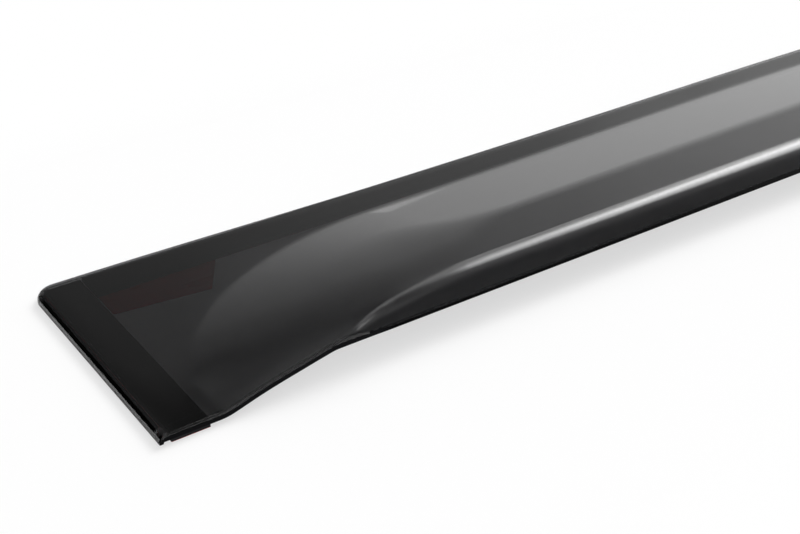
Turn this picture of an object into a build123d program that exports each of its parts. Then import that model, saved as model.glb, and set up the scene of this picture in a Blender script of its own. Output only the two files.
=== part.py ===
"""Window rain deflector: smoked acrylic moulding with foam tape and release film on its back.

Millimetres, +Z up. X runs along the window edge, +Y to the taped top edge, -Y to the open lower lip.
The deflector lies on its tape, as it would on a table.
"""
import math
import os

from build123d import *

os.makedirs("parts", exist_ok=True)

# Overall size
length = 680.0
width = 78.0
sheet = 2.0

# Foam tape and release film under the sheet
foam = 1.2
film = 0.1
top_tape_width = 10.0
end_tape_width = 10.0
tape_margin = 1.6
end_margin = 3.2
end_top_margin = 2.0
lip_margin = 0.8
tape_gap = 0.8
tab_start = 0.2
tab_length = 35.2
tab_reach = 10.0
tab_skew = 3.2
tab_lean = 8.0
tab_round = 1.0

# Bulge across the sheet: flat flange, slope, crown, ridge and lip
flange = 15.0
foot = 12.1
shoulder_run = 39.4
shoulder_rise = 11.75
crown_rise = 1.1
hollow_round = 8.0
shoulder_round = 28.0
nose_stretch = 1.41
ridge_round = 6.0
lip_angle = 65.0
lip_height = 8.75
flare_start = 80.0
flare_radius = 120.0
flare_angle = 30.0

# Outer edges
corner_round = 5.8
edge_round = 1.8
rim_width = 1.0
rim_depth = 0.5

# Places worked out from the sizes
back = foam + film
flange_top = back + sheet
crown_top = flange_top + shoulder_rise + crown_rise
half_length = length / 2
half_width = width / 2
foot_radius = width - flange
shoulder_radius = foot_radius - shoulder_run
plain_radius = 1.6 * width
middle_length = length - 2 * (foot + foot_radius * nose_stretch)
lip_straight = length - 2 * flare_start
lip_lean = 1.0 / math.tan(math.radians(lip_angle))
wall_run = sheet / math.sin(math.radians(lip_angle))
below = -10.0
above = crown_top + 20.0
spare = 6.0


def crown_profile(overrun):
    """Face under the crown line, over the distance from the nose axis out across the flange."""
    heel = (foot_radius, flange_top)
    shoulder = (shoulder_radius, flange_top + shoulder_rise)
    with BuildSketch(Plane.YZ) as face:
        with BuildLine():
            Polyline((plain_radius, flange_top), heel, shoulder, (0, crown_top))
            if overrun > 0:
                Line((0, crown_top), (-overrun, crown_top))
            Polyline(
                (-overrun, crown_top),
                (-overrun, below),
                (plain_radius, below),
                (plain_radius, flange_top),
            )
        make_face()
        fillet(face.vertices().sort_by_distance(heel)[0], hollow_round)
        fillet(face.vertices().sort_by_distance(shoulder)[0], shoulder_round)
    return face.sketch


def on_lip(point, shift):
    """True for a point of the lip surface, moved inwards by a run along Y."""
    past = max(0.0, abs(point.X) - lip_straight / 2)
    inward = math.hypot(past, point.Y + half_width + flare_radius) - flare_radius
    return abs(inward - shift - (point.Z - lip_height) * lip_lean) < 0.01


def lip_side(shift):
    """Solid on the sheet's side of the lip, which runs straight and flares outwards past its middle."""
    low = -half_width + shift + (below - sheet - lip_height) * lip_lean
    high = -half_width + shift + (above - lip_height) * lip_lean
    flare_axis = Axis((-lip_straight / 2, -half_width - flare_radius, 0), (0, 0, 1))
    with BuildPart() as side:
        with BuildSketch(Plane.YZ.offset(-lip_straight / 2)) as section:
            with BuildLine():
                Polyline(
                    (low, below - sheet),
                    (width, below - sheet),
                    (width, above),
                    (high, above),
                    close=True,
                )
            make_face()
        extrude(amount=lip_straight / 2)
        revolve(section.sketch, axis=flare_axis, revolution_arc=flare_angle)
        mirror(about=Plane.YZ)
    return side.part


def ridged(body, side, shift, low, radius):
    """The body kept on one side of the lip, with the ridge above a height rounded."""
    with BuildPart() as cut:
        add(body)
        add(side, mode=Mode.INTERSECT)
        Box(length + 2 * spare, 4 * width, 4 * above, mode=Mode.INTERSECT)
        ridge = [edge for edge in cut.edges() if (edge @ 0.5).Z > low and on_lip(edge @ 0.5, shift)]
        fillet(ridge, radius)
    return cut.part


# Nose: the crown line turned about an upright axis and stretched along the window edge
with BuildPart() as nose:
    add(crown_profile(0.0))
    revolve(axis=Axis.Z, revolution_arc=180)
    scale(by=(nose_stretch, 1, 1))
near_nose = nose.part.moved(Location((-middle_length / 2, -half_width, 0)))

# Solid under the crown: straight middle and a nose at each end, and the same one sheet lower
with BuildPart() as crown:
    with Locations((-middle_length / 2, -half_width, 0)):
        add(crown_profile(20.0))
    extrude(amount=middle_length, dir=(1, 0, 0))
    add(near_nose)
    add(mirror(near_nose, about=Plane.YZ, mode=Mode.PRIVATE))
hollow = crown.part.moved(Location((0, 0, -sheet)))

# Outline of the moulding, its top edge and ends rounded over
with BuildPart() as envelope:
    with BuildSketch(Plane.XY.offset(back - rim_depth)) as outline:
        Rectangle(length, width)
        fillet(outline.vertices().group_by(Axis.Y)[-1], corner_round)
    extrude(amount=sheet + rim_depth)
    top_edges = envelope.faces().sort_by(Axis.Z)[-1].edges()
    fillet([edge for edge in top_edges if (edge @ 0.5).Y > 0.01 - half_width], edge_round)
    with BuildSketch(Plane.XY.offset(back)) as inside:
        with Locations((0, -edge_round / 2)):
            Rectangle(length - 2 * edge_round, width - edge_round)
        fillet(inside.vertices().group_by(Axis.Y)[-1], corner_round - edge_round)
    extrude(amount=above - back)

# Inner side of the lip, open below the lip's lower edge
with BuildPart() as lip_inside:
    add(lip_side(wall_run))
    with Locations((0, 0, lip_height)):
        Box(2 * length, 8 * width, above, align=(Align.CENTER, Align.CENTER, Align.MAX))

# Smoked acrylic moulding: one sheet with flange, nosed bulge and lip, and a low rim under three edges
with BuildPart() as deflector:
    add(ridged(crown.part, lip_side(0.0), 0.0, flange_top - 0.01, ridge_round))
    inside_round = ridge_round - sheet
    add(ridged(hollow, lip_inside.part, wall_run, lip_height + 0.01, inside_round), mode=Mode.SUBTRACT)
    with BuildSketch(Plane.XY.offset(back - rim_depth)) as rim:
        Rectangle(length, width)
        with BuildSketch(mode=Mode.SUBTRACT) as clear:
            with Locations((0, -rim_width / 2)):
                Rectangle(length - 2 * rim_width, width - rim_width)
            fillet(clear.vertices().group_by(Axis.Y)[-1], corner_round - rim_width)
    extrude(amount=rim_depth + sheet / 2)
    add(envelope.part, mode=Mode.INTERSECT)
deflector.part.label = "deflector"
export_step(deflector.part, "parts/deflector.step")

# Tape places: one strip under the flange, one across each foot
strip_x = half_length - end_margin - end_tape_width / 2
strip_y = (lip_margin - end_top_margin) / 2
strip_length = width - lip_margin - end_top_margin
top_length = length - 2 * (end_margin + end_tape_width + tape_gap)
top_y = half_width - tape_margin - top_tape_width / 2

# Black foam strips
with BuildPart() as top_tape:
    with BuildSketch(Plane.XY.offset(film)):
        with Locations((0, top_y)):
            Rectangle(top_length, top_tape_width)
    extrude(amount=foam)
top_tape.part.label = "top_tape"
export_step(top_tape.part, "parts/top_tape.step")

with BuildPart() as near_end_tape:
    with BuildSketch(Plane.XY.offset(film)):
        with Locations((-strip_x, strip_y)):
            Rectangle(end_tape_width, strip_length)
    extrude(amount=foam)
near_end_tape.part.label = "near_end_tape"
export_step(near_end_tape.part, "parts/near_end_tape.step")

with BuildPart() as far_end_tape:
    mirror(near_end_tape.part, about=Plane.YZ)
far_end_tape.part.label = "far_end_tape"
export_step(far_end_tape.part, "parts/far_end_tape.step")

# Red release film on each strip, the long one cut with a pull tab beside the foam at both ends
with BuildPart() as top_film:
    with BuildSketch() as sheet_cut:
        with Locations((0, top_y)):
            Rectangle(top_length, top_tape_width)
        root_y = top_y - top_tape_width / 2
        tab_x = top_length / 2 - tab_start
        with BuildSketch() as tab:
            with BuildLine():
                Polyline(
                    (-tab_x, root_y),
                    (-tab_x, root_y - tab_reach),
                    (-tab_x + tab_length - tab_lean, root_y - tab_reach - tab_skew),
                    (-tab_x + tab_length, root_y),
                    close=True,
                )
            make_face()
            fillet(tab.vertices().sort_by(Axis.Y)[:2], tab_round)
            mirror(about=Plane.YZ)
    extrude(amount=film)
top_film.part.label = "top_film"
export_step(top_film.part, "parts/top_film.step")

with BuildPart() as near_end_film:
    with BuildSketch():
        with Locations((-strip_x, strip_y)):
            Rectangle(end_tape_width, strip_length)
    extrude(amount=film)
near_end_film.part.label = "near_end_film"
export_step(near_end_film.part, "parts/near_end_film.step")

with BuildPart() as far_end_film:
    mirror(near_end_film.part, about=Plane.YZ)
far_end_film.part.label = "far_end_film"
export_step(far_end_film.part, "parts/far_end_film.step")
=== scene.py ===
"""Window rain deflector: looks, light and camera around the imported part.

The moulding's sizes are in millimetres, as in the part's own drawing, and turn into metres in the mesh.
X runs along the window edge, +Y to the taped top edge, -Y to the open lower lip, +Z up.
Places along X are distances from the nearer end, unless a comment says otherwise.
"""
import math

import bmesh
import bpy
import numpy as np
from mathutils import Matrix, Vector


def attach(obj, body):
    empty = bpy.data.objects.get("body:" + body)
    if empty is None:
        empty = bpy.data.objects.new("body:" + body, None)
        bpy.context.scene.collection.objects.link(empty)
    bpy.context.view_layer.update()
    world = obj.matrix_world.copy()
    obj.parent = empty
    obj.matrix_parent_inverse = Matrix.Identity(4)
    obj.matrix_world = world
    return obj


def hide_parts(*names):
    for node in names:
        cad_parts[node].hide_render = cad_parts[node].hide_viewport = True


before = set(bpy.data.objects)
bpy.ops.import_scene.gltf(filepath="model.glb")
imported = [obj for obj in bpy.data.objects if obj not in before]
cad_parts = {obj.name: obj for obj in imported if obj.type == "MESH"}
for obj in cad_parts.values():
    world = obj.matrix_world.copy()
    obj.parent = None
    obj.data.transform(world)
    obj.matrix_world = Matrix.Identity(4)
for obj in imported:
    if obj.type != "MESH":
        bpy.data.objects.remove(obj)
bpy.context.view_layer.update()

MM = 0.001

# Sheet, with its ends rolled down and its top edge drawn in a little, at places from the part's middle
LENGTH = 680.0
WIDTH = 78.0
SHEET = 2.0
BACK = 1.3
TAPE_CLEARANCE = 0.02
CORNER_ROUND = 5.8
EDGE_ROUND = 1.8
RIM_WIDTH = 1.0
RIM_DEPTH = 0.5
TOP_WAIST = 1.42
WAIST_STARTS = (45.0, 205.0)
WAIST_ENDS = (225.0, 325.0)
END_ROLL = 0.2
ROLL_RUN = 6.0

# Bulge across the sheet, with a swelling foot, a sagging toe and a droop beside the lower edge
FOOT = 12.1
FOOT_RADIUS = 62.4
NOSE_STRETCH = 1.41
SHOULDER_RUN = 38.4
SHOULDER_RISE = 11.69
CROWN_RISE = 1.07
HOLLOW_ROUND = 8.0
SHOULDER_ROUND = 18.0
NOSE_SHOULDER_ROUND = 150.0
SHOULDER_CHANGE = (-17.0, 21.0)  # from the end of the straight middle
FOOT_SWELL = 3.9
SWELL_PLACES = (80.0, 290.0)
TOE_SAG = 0.75
TOE_RUN = 18.0
TOE_WIDTH = (5.0, 20.0)
TOE_SCALE = 12.2  # brings the deepest point of the sag's curve to one
EDGE_DROOP = 0.36
DROOP_RUN = 18.0
DROOP_STARTS = (8.0, 16.0)
DROOP_ENDS = (44.0, 56.0)

# Ridge and lip, which run out in the lower edge near the ends
RIDGE_PLACES = (54.0, 67.0, 130.0, 260.0)
RIDGE_ROUNDS = (2.4, 5.4, 6.5, 7.4)
INNER_RIDGE_ROUND = 4.0
LIP_ANGLE = 65.0
LIP_HEIGHT = 8.75
LIP_FOOT = 8.5
LIP_FOOT_EASE = 0.3
FLARE_START = 64.0
FLARE_RADIUS = 42.0
RUN_OUT = (50.0, 64.0)

# Lower edge: broken outer corner, dark sawn strip, rounded underside, chamfer inside; the strip is black
# with almost no reflection, painted shade of the shadowed floor under the part
EDGE_BREAK = 0.5
# Height and places of the black sawn strip, painted shade along the lower edge
SAWN_SHADE_HEIGHT = 0.36
END_SAWN_SHADE_HEIGHT = 1.5
SAWN_SHADE_PLACES = (56.0, 66.0)
SAWN_SHADE_SHARE = 0.72
SAWN_ROUND = 0.3
ROUND_SHARE = 0.3
INNER_CHAMFER = 1.2
CHAMFER_BEND = 0.25

# Worked out from the sizes
HALF_LENGTH = LENGTH / 2
HALF_WIDTH = WIDTH / 2
FLANGE_TOP = BACK + SHEET
SLOPE = SHOULDER_RISE / SHOULDER_RUN
SHOULDER_RADIUS = FOOT_RADIUS - SHOULDER_RUN
CROWN_TOP = FLANGE_TOP + SHOULDER_RISE + CROWN_RISE
CROWN_SLOPE = CROWN_RISE / SHOULDER_RADIUS
SHOULDER_TURN = SLOPE - CROWN_SLOPE
LIP_RISE = math.tan(math.radians(LIP_ANGLE))
WALL_RUN = SHEET / math.sin(math.radians(LIP_ANGLE))
MIDDLE = LENGTH - 2 * (FOOT + FOOT_RADIUS * NOSE_STRETCH)

# Mesh: distances of its rows and columns from the edges, close together where the sheet bends
NEAR_EDGE = np.array([0, 0.1, 0.2, 0.35, 0.55, 0.8, 0.95, 1.05, 1.45, 1.8, 2.4, 3.2])
NEAR_TOP = np.concatenate([NEAR_EDGE, [4.5, 6, 8, 10]])[::-1]
NEAR_LIP = np.concatenate([[0, 0.02, 0.05, 0.1], np.arange(0.2, 8, 0.25), np.arange(8.2, 12, 0.5)])
LIP_ZONE = 12.0
BETWEEN = np.linspace(0, 1, 62)[:-1]
NOSE_COLUMNS = np.arange(4.2, 104, 1.0)
MIDDLE_COLUMNS = np.linspace(106, HALF_LENGTH, 40)[:-1]
CORNER_STEPS = 4
SHARP_ANGLE = 40.0

# Accuracy of the worked-out surfaces
NEARBY = 0.01
LIP_SAMPLES = (0.2, 0.4)
HALVINGS = 40
ALMOST_ALIKE = 0.9999


def step(low, high, value):
    """0 below low, 1 above high, smooth between."""
    t = np.clip((value - low) / (high - low), 0, 1)
    return t * t * (3 - 2 * t)


def from_end(x):
    """Distance along the part from its nearer end."""
    return HALF_LENGTH - np.abs(x)


def lower_of(a, b, ease):
    """The lower of two heights, their corner rounded where they differ by less than the ease."""
    return np.minimum(a, b) - np.maximum(ease - np.abs(a - b), 0) ** 2 / (4 * ease)


def higher_of(a, b, ease):
    """The higher of two heights, their corner rounded in the same way."""
    return -lower_of(-a, -b, ease)


def crown(x, y):
    """Height of the sheet's outer side before the lip is turned down: flange, slope and crown."""
    past_middle = np.abs(x) - MIDDLE / 2
    from_lip = y + HALF_WIDTH
    out = np.hypot(np.maximum(0, past_middle) / NOSE_STRETCH, from_lip)
    swell = FOOT_SWELL * step(*SWELL_PLACES, from_end(x))
    slope = FLANGE_TOP + (FOOT_RADIUS - out * FOOT_RADIUS / (FOOT_RADIUS + swell)) * SLOPE
    toe = np.clip((FOOT_RADIUS - out) / TOE_RUN, 0, 1)
    sag = TOE_SAG * TOE_SCALE * toe * (1 - toe) ** 4 * (1 - step(*TOE_WIDTH, from_lip))
    near_lip = np.clip(1 - from_lip / DROOP_RUN, 0, 1) ** 2
    in_nose = step(*DROOP_STARTS, from_end(x)) * (1 - step(*DROOP_ENDS, from_end(x)))
    slope = slope - sag - EDGE_DROOP * near_lip * in_nose
    top = CROWN_TOP - out * CROWN_SLOPE
    wider = (NOSE_SHOULDER_ROUND - SHOULDER_ROUND) * step(*SHOULDER_CHANGE, past_middle)
    bulge = lower_of(slope, top, (SHOULDER_ROUND + wider) * SHOULDER_TURN**2 / 2)
    return higher_of(bulge, FLANGE_TOP, HOLLOW_ROUND * SLOPE**2 / 2)


def lip_inset(x, y):
    """How far a point lies inside the lip's lower edge, which flares outwards near the ends."""
    past = np.maximum(0, FLARE_START - from_end(x))
    return np.hypot(past, y + HALF_WIDTH + FLARE_RADIUS) - FLARE_RADIUS


def ridge_round(x):
    """Radius of the ridge, which tightens where it runs out in the lower edge."""
    return np.interp(from_end(x), RIDGE_PLACES, RIDGE_ROUNDS)


def lip_foot(x):
    """Height of the sawn lower edge, which follows the sheet's underside down to the feet."""
    return lower_of(LIP_FOOT, crown(x, -HALF_WIDTH) - SHEET, LIP_FOOT_EASE)


def slopes(height, x, y):
    """Slopes of a surface along X and Y."""
    along_x = (height(x + NEARBY, y) - height(x - NEARBY, y)) / (2 * NEARBY)
    along_y = (height(x, y + NEARBY) - height(x, y - NEARBY)) / (2 * NEARBY)
    return along_x, along_y


def rounded_ridge(x, y, over, lip, radius):
    """Height of the two surfaces' lower side, their ridge rounded by a ball of that radius."""
    over_x, over_y = slopes(over, x, y)
    lip_x, lip_y = slopes(lip, x, y)
    over_z = over(x, y)
    lip_z = lip(x, y)
    over_up = 1 / np.sqrt(1 + over_x**2 + over_y**2)
    lip_up = 1 / np.sqrt(1 + lip_x**2 + lip_y**2)
    cos = np.clip((over_x * lip_x + over_y * lip_y + 1) * over_up * lip_up, -1, ALMOST_ALIKE)
    high = np.minimum(over_z, lip_z)
    low = high - 2 * radius
    for _ in range(HALVINGS):
        z = (low + high) / 2
        a = (z - over_z) * over_up + radius
        b = (z - lip_z) * lip_up + radius
        along_a = (a - cos * b) / (1 - cos**2)
        along_b = (b - cos * a) / (1 - cos**2)
        ball = np.sqrt(np.maximum(along_a**2 + along_b**2 + 2 * along_a * along_b * cos, 0))
        reach = np.where((along_a > 0) & (along_b > 0), ball, np.maximum(a, b))
        high = np.where(reach > radius, z, high)
        low = np.where(reach > radius, low, z)
    return (low + high) / 2


def top_line(x):
    """The top edge's line, drawn in a little on either side of the middle."""
    return HALF_WIDTH - TOP_WAIST * step(*WAIST_STARTS, np.abs(x)) * (1 - step(*WAIST_ENDS, np.abs(x)))


def top_edge(x):
    """The outline's top edge, with a rounded corner at each end."""
    past = np.clip(CORNER_ROUND - from_end(x), 0, CORNER_ROUND)
    return top_line(x) - CORNER_ROUND + np.sqrt(CORNER_ROUND**2 - past**2)


def edge_inset(x, y):
    """How far a point lies inside the top edge and the ends."""
    dx = from_end(x)
    dy = top_line(x) - y
    corner = CORNER_ROUND - np.hypot(np.maximum(CORNER_ROUND - dx, 0), np.maximum(CORNER_ROUND - dy, 0))
    return np.where((dx < CORNER_ROUND) & (dy < CORNER_ROUND), corner, np.minimum(dx, dy))


def outer_height(x, y):
    """Height of the sheet's outer side, with its ridge, lip, rounded edges and rolled ends."""
    def lip(x, y):
        return LIP_HEIGHT + lip_inset(x, y) * LIP_RISE

    z = rounded_ridge(x, y, crown, lip, ridge_round(x))
    drop = EDGE_ROUND - edge_inset(x, y)
    edge = FLANGE_TOP - EDGE_ROUND + np.sqrt(np.maximum(EDGE_ROUND**2 - drop**2, 0))
    roll = END_ROLL * np.maximum(0, 1 - from_end(x) / ROLL_RUN) ** 2
    return np.where(drop > 0, np.minimum(z, edge), z) - roll


def inner_height(x, y):
    """Height of the sheet's inner side, with the rim under the top edge and the ends."""
    def over(x, y):
        return crown(x, y) - SHEET + TAPE_CLEARANCE

    def lip(x, y):
        return lip_foot(x) + np.maximum(0, y + HALF_WIDTH - WALL_RUN) * LIP_RISE

    z = rounded_ridge(x, y, over, lip, INNER_RIDGE_ROUND)
    return np.where(edge_inset(x, y) < RIM_WIDTH, BACK - RIM_DEPTH, z)


def grid_rows(low, high):
    """Rows from a lower to an upper edge, close together at the ridge and at the rounded edge."""
    first = low + LIP_ZONE
    last = high - NEAR_TOP[0]
    return np.concatenate([low + NEAR_LIP, first + (last - first) * BETWEEN, high - NEAR_TOP])


def bend(start, corner, end):
    """Points round a corner in each column, from its start to its end."""
    t = np.linspace(0, 1, CORNER_STEPS + 1)[:, None]
    return (1 - t) ** 2 * start[:, None] + 2 * (1 - t) * t * corner[:, None] + t**2 * end[:, None]


def moulding_points():
    """Points of the outer side, the inner side and the lower edge, and where its sawn strip of painted
    shade starts.
    """
    half = np.concatenate([NEAR_EDGE, NOSE_COLUMNS, MIDDLE_COLUMNS])
    columns = np.concatenate([half - HALF_LENGTH, [0.0], (HALF_LENGTH - half)[::-1]])
    lower = np.full_like(columns, -HALF_WIDTH)
    in_lip = step(*RUN_OUT, from_end(columns))

    def place(y, z):
        return np.stack([columns, y, z], -1)

    def side(start, height):
        y = np.stack([grid_rows(a, b) for a, b in zip(start, top_edge(columns))])
        x = np.repeat(columns[:, None], y.shape[1], 1)
        return np.stack([x, y, height(x, y)], -1)

    foot = np.minimum(lip_foot(columns), inner_height(columns, lower + 2 * SAWN_ROUND))
    wall = outer_height(columns, lower) - foot
    sample_low, sample_high = (outer_height(columns, lower + inset) for inset in LIP_SAMPLES)
    rise = (sample_high - sample_low) / (LIP_SAMPLES[1] - LIP_SAMPLES[0])
    sawn_shade_height = END_SAWN_SHADE_HEIGHT + (SAWN_SHADE_HEIGHT - END_SAWN_SHADE_HEIGHT) * step(*SAWN_SHADE_PLACES, from_end(columns))
    break_run = np.minimum(EDGE_BREAK, wall / 2)
    outer = side(lower + np.maximum(sawn_shade_height - wall, break_run) / np.sqrt(1 + rise**2), outer_height)
    inner_lower = lower + 2 * SAWN_ROUND + (WALL_RUN - 2 * SAWN_ROUND) * in_lip
    inner = side(inner_lower + SAWN_ROUND, inner_height)

    break_end = place(lower, foot + wall - np.minimum(EDGE_BREAK, wall / 4))
    sawn_shade_top = place(lower, foot + np.minimum(sawn_shade_height, SAWN_SHADE_SHARE * wall))
    round_top = place(lower, foot + np.minimum(SAWN_ROUND, ROUND_SHARE * wall))
    round_end = place(lower + SAWN_ROUND, foot)
    chamfer = inner_lower - (INNER_CHAMFER - CHAMFER_BEND) * in_lip
    broken = bend(outer[:, 0], place(lower, foot + wall), break_end)[:, 1:]
    below = bend(round_top, place(lower, foot), round_end)
    inside = bend(place(chamfer - CHAMFER_BEND, foot), place(chamfer, foot), inner[:, 0])[:, :-1]
    edge = np.concatenate([broken, sawn_shade_top[:, None], below, inside], 1)
    # The sawn strip's faces get the black edge material, painted shade; where the wall is low the broken
    # corner gets it too
    sawn_shade_from = np.where(wall < sawn_shade_height, 0, CORNER_STEPS + 1)
    return outer, inner, edge, sawn_shade_from


def moulding_faces(count, rows, edge_rows, sawn_shade_from):
    """Faces between the columns and across both ends, and the numbers of the sawn ones, which carry the
    painted shade.
    """
    sawn_shade_to = 2 * (CORNER_STEPS + 1)
    last = rows - 1

    def over(i, j):
        return i * rows + j

    def under(i, j):
        return count * rows + i * rows + j

    def edge(i, k):
        """Points round the lower edge, from the outer side's first row to the inner side's."""
        if k == 0:
            return over(i, 0)
        if k > edge_rows:
            return under(i, 0)
        return 2 * count * rows + i * edge_rows + k - 1

    faces = []
    shaded_sawn_faces = []
    for i in range(count - 1):
        for k in range(edge_rows + 1):
            faces.append((edge(i, k), edge(i, k + 1), edge(i + 1, k + 1), edge(i + 1, k)))
            if sawn_shade_from[i] <= k < sawn_shade_to:
                shaded_sawn_faces.append(len(faces) - 1)
        for j in range(last):
            faces.append((over(i, j), over(i + 1, j), over(i + 1, j + 1), over(i, j + 1)))
            faces.append((under(i, j), under(i, j + 1), under(i + 1, j + 1), under(i + 1, j)))
        faces.append((over(i, last), over(i + 1, last), under(i + 1, last), under(i, last)))
    for i in (0, count - 1):
        for j in range(last):
            faces.append((over(i, j), over(i, j + 1), under(i, j + 1), under(i, j)))
        faces.append(tuple(edge(i, k) for k in range(edge_rows + 2)))
    return faces, shaded_sawn_faces


def moulding_mesh():
    """The smoked sheet as one closed mesh: outer and inner side, rounded lower edge, top edge and ends."""
    outer, inner, edge, sawn_shade_from = moulding_points()
    count, rows = outer.shape[:2]
    faces, shaded_sawn_faces = moulding_faces(count, rows, edge.shape[1], sawn_shade_from)
    points = np.concatenate([outer.reshape(-1, 3), inner.reshape(-1, 3), edge.reshape(-1, 3)]) * MM
    mesh = bpy.data.meshes.new("moulding")
    mesh.from_pydata(points.tolist(), [], faces)
    # Sawn faces take the second material, a black edge of painted shade
    for index in shaded_sawn_faces:
        mesh.polygons[index].material_index = 1
    shape = bmesh.new()
    shape.from_mesh(mesh)
    bmesh.ops.recalc_face_normals(shape, faces=shape.faces)
    shape.to_mesh(mesh)
    shape.free()
    mesh.shade_smooth()
    mesh.set_sharp_from_angle(angle=math.radians(SHARP_ANGLE))
    return mesh


def new_material(name):
    material = bpy.data.materials.new(name)
    material.use_nodes = True
    return material, material.node_tree, material.node_tree.nodes["Principled BSDF"]


def add_noise(tree, scale, detail, stretch=(1.0, 1.0, 1.0)):
    """Noise over the object's own coordinates, which are metres."""
    where = tree.nodes.new("ShaderNodeTexCoord")
    mapping = tree.nodes.new("ShaderNodeMapping")
    mapping.inputs["Scale"].default_value = stretch
    noise = tree.nodes.new("ShaderNodeTexNoise")
    noise.inputs["Scale"].default_value = scale
    noise.inputs["Detail"].default_value = detail
    tree.links.new(where.outputs["Object"], mapping.inputs["Vector"])
    tree.links.new(mapping.outputs["Vector"], noise.inputs["Vector"])
    return noise.outputs["Fac"]


def add_range(tree, value, low, high):
    """A value from 0 to 1 moved to a range."""
    spread = tree.nodes.new("ShaderNodeMapRange")
    spread.inputs["To Min"].default_value = low
    spread.inputs["To Max"].default_value = high
    tree.links.new(value, spread.inputs["Value"])
    return spread.outputs["Result"]


def add_smooth_step(tree, value, low, high, level=1.0):
    """0 below low, the level above high, smooth between."""
    spread = tree.nodes.new("ShaderNodeMapRange")
    spread.interpolation_type = "SMOOTHSTEP"
    spread.inputs["From Min"].default_value = low
    spread.inputs["From Max"].default_value = high
    spread.inputs["To Max"].default_value = level
    tree.links.new(value, spread.inputs["Value"])
    return spread.outputs["Result"]


def add_colours(tree, value, *stops):
    """A colour ramp over a value, from (place, colour) pairs."""
    ramp = tree.nodes.new("ShaderNodeValToRGB")
    elements = ramp.color_ramp.elements
    elements[1].position = stops[-1][0]
    elements[1].color = (*stops[-1][1], 1)
    elements[0].position = stops[0][0]
    elements[0].color = (*stops[0][1], 1)
    for place, colour in stops[1:-1]:
        elements.new(place).color = (*colour, 1)
    tree.links.new(value, ramp.inputs["Fac"])
    return ramp.outputs["Color"]


def add_bump(tree, height, distance, strength):
    bump = tree.nodes.new("ShaderNodeBump")
    bump.inputs["Strength"].default_value = strength
    bump.inputs["Distance"].default_value = distance
    tree.links.new(height, bump.inputs["Height"])
    return bump.outputs["Normal"]


def add_vector_math(tree, operation, first, second=None):
    node = tree.nodes.new("ShaderNodeVectorMath")
    node.operation = operation
    tree.links.new(first, node.inputs[0])
    if second is not None:
        node.inputs[1].default_value = second
    return node


def add_math(tree, operation, *values):
    """A sum, product or the like of sockets and numbers."""
    node = tree.nodes.new("ShaderNodeMath")
    node.operation = operation
    for socket, value in zip(node.inputs, values):
        if isinstance(value, bpy.types.NodeSocket):
            tree.links.new(value, socket)
        else:
            socket.default_value = value
    return node.outputs["Value"]


def add_chain(tree, operation, first, *others):
    """Values joined one after another by the same operation."""
    for other in others:
        first = add_math(tree, operation, first, other)
    return first


def acrylic_material():
    material, tree, shader = new_material("smoked_acrylic")
    shader.inputs["IOR"].default_value = 1.49
    shader.inputs["Transmission Weight"].default_value = 1.0
    smoke = tree.nodes.new("ShaderNodeVolumeAbsorption")
    smoke.inputs["Color"].default_value = (0.0, 0.0, 0.0, 1)
    smoke.inputs["Density"].default_value = 400.0
    tree.links.new(smoke.outputs["Volume"], tree.nodes["Material Output"].inputs["Volume"])
    clouds = add_noise(tree, scale=9.0, detail=3.0)
    tint = add_colours(tree, clouds, (0.3, (0.39, 0.39, 0.40)), (0.7, (0.41, 0.41, 0.42)))
    tree.links.new(tint, shader.inputs["Base Color"])
    smears = add_noise(tree, scale=60.0, detail=4.0, stretch=(0.25, 1.0, 1.0))
    tree.links.new(add_range(tree, smears, low=0.008, high=0.03), shader.inputs["Roughness"])
    return material


# Sawn edge of the dark sheet, made black with almost no reflection: painted shade of the shadowed floor
# that the rounded lower edge would reflect
def sawn_edge_and_shade_material():
    material, tree, shader = new_material("sawn_edge_painted_shade")
    marks = add_noise(tree, scale=900.0, detail=3.0, stretch=(0.1, 1.0, 1.0))
    tint = add_colours(tree, marks, (0.3, (0.002, 0.002, 0.0025)), (0.7, (0.006, 0.006, 0.007)))
    tree.links.new(tint, shader.inputs["Base Color"])
    tree.links.new(add_range(tree, marks, low=0.4, high=0.6), shader.inputs["Roughness"])
    # Almost no reflection, so the strip stays black as painted shade
    shader.inputs["Specular IOR Level"].default_value = 0.03
    return material


def foam_material():
    material, tree, shader = new_material("black_foam")
    cells = add_noise(tree, scale=2600.0, detail=3.0)
    tint = add_colours(tree, cells, (0.35, (0.004, 0.004, 0.005)), (0.7, (0.014, 0.014, 0.016)))
    tree.links.new(tint, shader.inputs["Base Color"])
    tree.links.new(add_range(tree, cells, low=0.75, high=0.95), shader.inputs["Roughness"])
    tree.links.new(add_bump(tree, cells, distance=0.0002, strength=0.8), shader.inputs["Normal"])
    return material


def film_material():
    material, tree, shader = new_material("red_film")
    folds = add_noise(tree, scale=160.0, detail=2.0, stretch=(0.3, 1.0, 1.0))
    tint = add_colours(tree, folds, (0.3, (0.42, 0.016, 0.02)), (0.7, (0.5, 0.022, 0.026)))
    tree.links.new(tint, shader.inputs["Base Color"])
    tree.links.new(add_range(tree, folds, low=0.22, high=0.36), shader.inputs["Roughness"])
    tree.links.new(add_bump(tree, folds, distance=0.0003, strength=0.25), shader.inputs["Normal"])
    return material


acrylic = acrylic_material()
foam = foam_material()
film = film_material()

# Moulding in place of the plain solid, tape and film as they are
moulding = bpy.data.objects.new("moulding", moulding_mesh())
moulding.data.materials.append(acrylic)
# Second slot: the sawn edge in black, painted shade
moulding.data.materials.append(sawn_edge_and_shade_material())
bpy.context.scene.collection.objects.link(moulding)
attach(moulding, "root")
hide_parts("deflector")
for name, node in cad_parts.items():
    node.data.materials.clear()
    node.data.materials.append(acrylic if name == "deflector" else foam if name.endswith("tape") else film)

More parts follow.
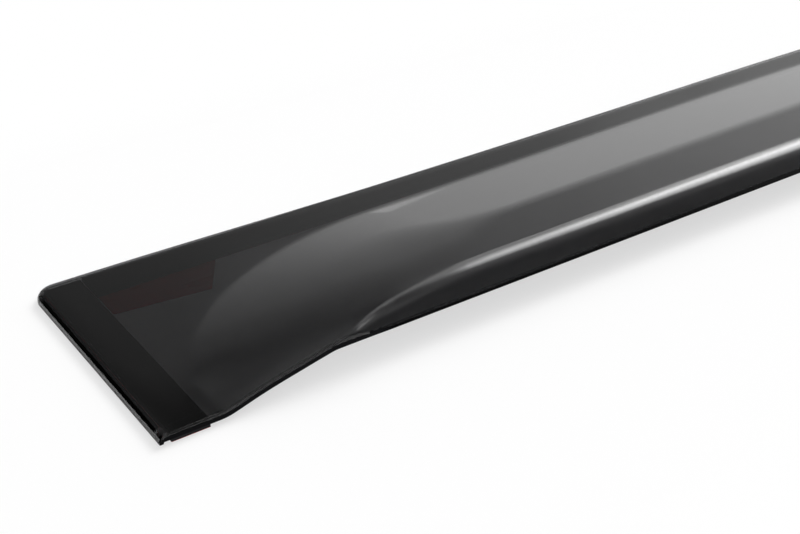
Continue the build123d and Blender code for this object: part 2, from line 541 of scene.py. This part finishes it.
# Camera: place in metres, angles in degrees
CAMERA_PLACE = (-0.4305865, -0.2640286, 0.1885380)
CAMERA_TURN = 55.153533
CAMERA_TILT = 30.732137
CAMERA_LENS = 59.529
CAMERA_SENSOR = 36.0


def heading(right, up):
    """Direction at an angle to the right of the camera's heading and an angle up from the floor."""
    turn = math.radians(CAMERA_TURN - right)
    tilt = math.radians(up)
    return Vector((math.cos(turn) * math.cos(tilt), math.sin(turn) * math.cos(tilt), math.sin(tilt)))


camera = bpy.data.objects.new("camera", bpy.data.cameras.new("camera"))
camera.data.lens = CAMERA_LENS
camera.data.sensor_width = CAMERA_SENSOR
camera.location = CAMERA_PLACE
camera.rotation_euler = heading(0, -CAMERA_TILT).to_track_quat("-Z", "Y").to_euler()
bpy.context.scene.collection.objects.link(camera)
bpy.context.scene.camera = camera
bpy.context.scene.view_settings.view_transform = "Standard"

# Floor: pale, and shaded by the part; away from the part the camera sees a plain white
FLOOR_SIZE = 1.3
FLOOR_GAP = 0.05
FLOOR_GREY = 0.85
FLOOR_ROUGHNESS = 0.9
SHADOW_REACH = (0.03, 0.11)
NEAR_WHITE = 0.6


def floor_material():
    material, tree, shader = new_material("white_floor")
    shader.inputs["Base Color"].default_value = (FLOOR_GREY, FLOOR_GREY, FLOOR_GREY, 1)
    shader.inputs["Roughness"].default_value = FLOOR_ROUGHNESS
    where = tree.nodes.new("ShaderNodeTexCoord")
    away = add_vector_math(tree, "ABSOLUTE", where.outputs["Object"])
    away = add_vector_math(tree, "SUBTRACT", away.outputs["Vector"], (HALF_LENGTH * MM, HALF_WIDTH * MM, 0))
    away = add_vector_math(tree, "MAXIMUM", away.outputs["Vector"], (0, 0, 0))
    away = add_vector_math(tree, "LENGTH", away.outputs["Vector"])
    far = add_smooth_step(tree, away.outputs["Value"], *SHADOW_REACH)
    path = tree.nodes.new("ShaderNodeLightPath")
    near = add_math(tree, "MULTIPLY", path.outputs["Is Camera Ray"], NEAR_WHITE)
    rays = ("Is Camera Ray", "Is Glossy Ray", "Is Transmission Ray")
    seen = add_chain(tree, "MAXIMUM", *(path.outputs[ray] for ray in rays))
    whiter = add_math(tree, "MAXIMUM", near, add_math(tree, "MULTIPLY", seen, far))
    plain = tree.nodes.new("ShaderNodeEmission")
    mix = tree.nodes.new("ShaderNodeMixShader")
    tree.links.new(whiter, mix.inputs["Fac"])
    tree.links.new(shader.outputs["BSDF"], mix.inputs[1])
    tree.links.new(plain.outputs["Emission"], mix.inputs[2])
    tree.links.new(mix.outputs["Shader"], tree.nodes["Material Output"].inputs["Surface"])
    return material


floor_mesh = bpy.data.meshes.new("floor")
half = FLOOR_SIZE / 2
floor_corners = [(-half, -half, 0), (half, -half, 0), (half, half, 0), (-half, half, 0)]
floor_mesh.from_pydata(floor_corners, [], [(0, 1, 2, 3)])
floor = bpy.data.objects.new("floor", floor_mesh)
floor.location = (0, 0, -FLOOR_GAP * MM)
bpy.context.scene.collection.objects.link(floor)
floor.data.materials.append(floor_material())

# Studio: a white wall behind the part on the right with a glow above it, a pale ceiling,
# a softbox high on the right, a faint light on the left and a fill from behind the camera
BRIGHT_SIDE = 40.0
WALL_FALL = 4.0
CEILING_LEVEL = 0.75
CEILING_FALL = 2.0
SOFTBOX_LEVEL = 12.4
GLOW_LEVEL = 1.5
FILL_LEVEL = 1.4
FILL_HEIGHT = 50.0
FILL_REACH = 50.0


def height_place(up):
    """Place on a ramp over a direction's height."""
    return math.sin(math.radians(up))


def turn_place(right):
    """Place on a ramp over a full turn, for an angle to the right of the camera's heading."""
    return (CAMERA_TURN - right) / 360 + 0.5


def studio_world():
    world = bpy.data.worlds.new("studio")
    world.use_nodes = True
    tree = world.node_tree
    sky = tree.nodes["Background"]
    where = tree.nodes.new("ShaderNodeTexCoord").outputs["Generated"]
    axes = tree.nodes.new("ShaderNodeSeparateXYZ")
    tree.links.new(where, axes.inputs["Vector"])
    bearing = add_math(tree, "ARCTAN2", axes.outputs["Y"], axes.outputs["X"])
    turn = add_math(tree, "MULTIPLY_ADD", bearing, 1 / (2 * math.pi), 0.5)

    def greys(value, place, stops):
        return add_colours(tree, value, *((place(angle), (level, level, level)) for angle, level in stops))

    def by_height(*stops):
        """Levels over the angle up from the floor."""
        return greys(axes.outputs["Z"], height_place, stops)

    def by_turn(*stops):
        """Levels over the angle to the right of the camera's heading."""
        return greys(turn, turn_place, stops)

    def product(*values):
        return add_chain(tree, "MULTIPLY", *values)

    side = add_vector_math(tree, "DOT_PRODUCT", where, heading(BRIGHT_SIDE, 0)).outputs["Value"]
    towards_side = add_math(tree, "MULTIPLY_ADD", side, 0.5, 0.5)
    wall_height = by_height(
        (0, 1.3),
        (15, 1.235),
        (21.6, 1.196),
        (23.4, 1.04),
        (25.7, 0.95),
        (27.3, 0.9),
        (30, 0.77),
        (34.4, 0.65),
        (35.6, 0.42),
        (36.6, 0.25),
        (38, 0.15),
        (40, 0.12),
    )
    wall_turn = by_turn((105, 0.35), (80, 1))
    wall = product(wall_height, add_math(tree, "POWER", towards_side, WALL_FALL), wall_turn)
    ceiling_height = by_height((41, 0), (55, CEILING_LEVEL))
    ceiling = product(ceiling_height, add_math(tree, "POWER", towards_side, CEILING_FALL))
    box_height = by_height(
        (26.5, 0),
        (29, 0.05),
        (36, 1),
        (50, 1),
        (53, 0.74),
        (55.5, 0.68),
        (59, 0.5),
        (62, 0.22),
        (64, 0.06),
        (67, 0),
    )
    box_turn = by_turn(
        (108, 0.01),
        (95, 0.03),
        (88, 0.04),
        (80, 0.05),
        (75, 0.09),
        (70, 0.26),
        (65, 0.46),
        (60, 0.64),
        (52, 0.8),
        (46, 1.0),
        (38, 0.92),
        (33, 0.64),
        (29, 0.49),
        (25, 0.38),
        (20, 0.27),
        (15, 0.17),
        (10, 0.18),
        (5, 0.15),
        (-2, 0.07),
        (-10, 0),
    )
    softbox = product(box_height, box_turn, SOFTBOX_LEVEL)
    glow_height = by_height((22.5, 0), (25.6, 0.8), (31, 1), (37, 0))
    glow_turn = by_turn((60, 0), (40, 1), (19, 1), (13, 0.4), (8, 0))
    glow = product(glow_height, glow_turn, GLOW_LEVEL)
    left_height = by_height((34, 0), (39, 1), (80, 1))
    left = product(left_height, by_turn((-9, 0), (-17, 0.16), (-60, 0.12), (-110, 0)))
    back = add_vector_math(tree, "DOT_PRODUCT", where, heading(180, FILL_HEIGHT)).outputs["Value"]
    fill = add_smooth_step(tree, back, math.cos(math.radians(FILL_REACH)), 1.0, FILL_LEVEL)

    path = tree.nodes.new("ShaderNodeLightPath")
    mix = tree.nodes.new("ShaderNodeMix")
    tree.links.new(path.outputs["Is Camera Ray"], mix.inputs["Factor"])
    tree.links.new(add_chain(tree, "ADD", wall, ceiling, softbox, left, fill, glow), mix.inputs["A"])
    mix.inputs["B"].default_value = 1.0
    tree.links.new(mix.outputs["Result"], sky.inputs["Strength"])
    sky.inputs["Color"].default_value = (1, 1, 1, 1)
    return world


bpy.context.scene.world = studio_world()
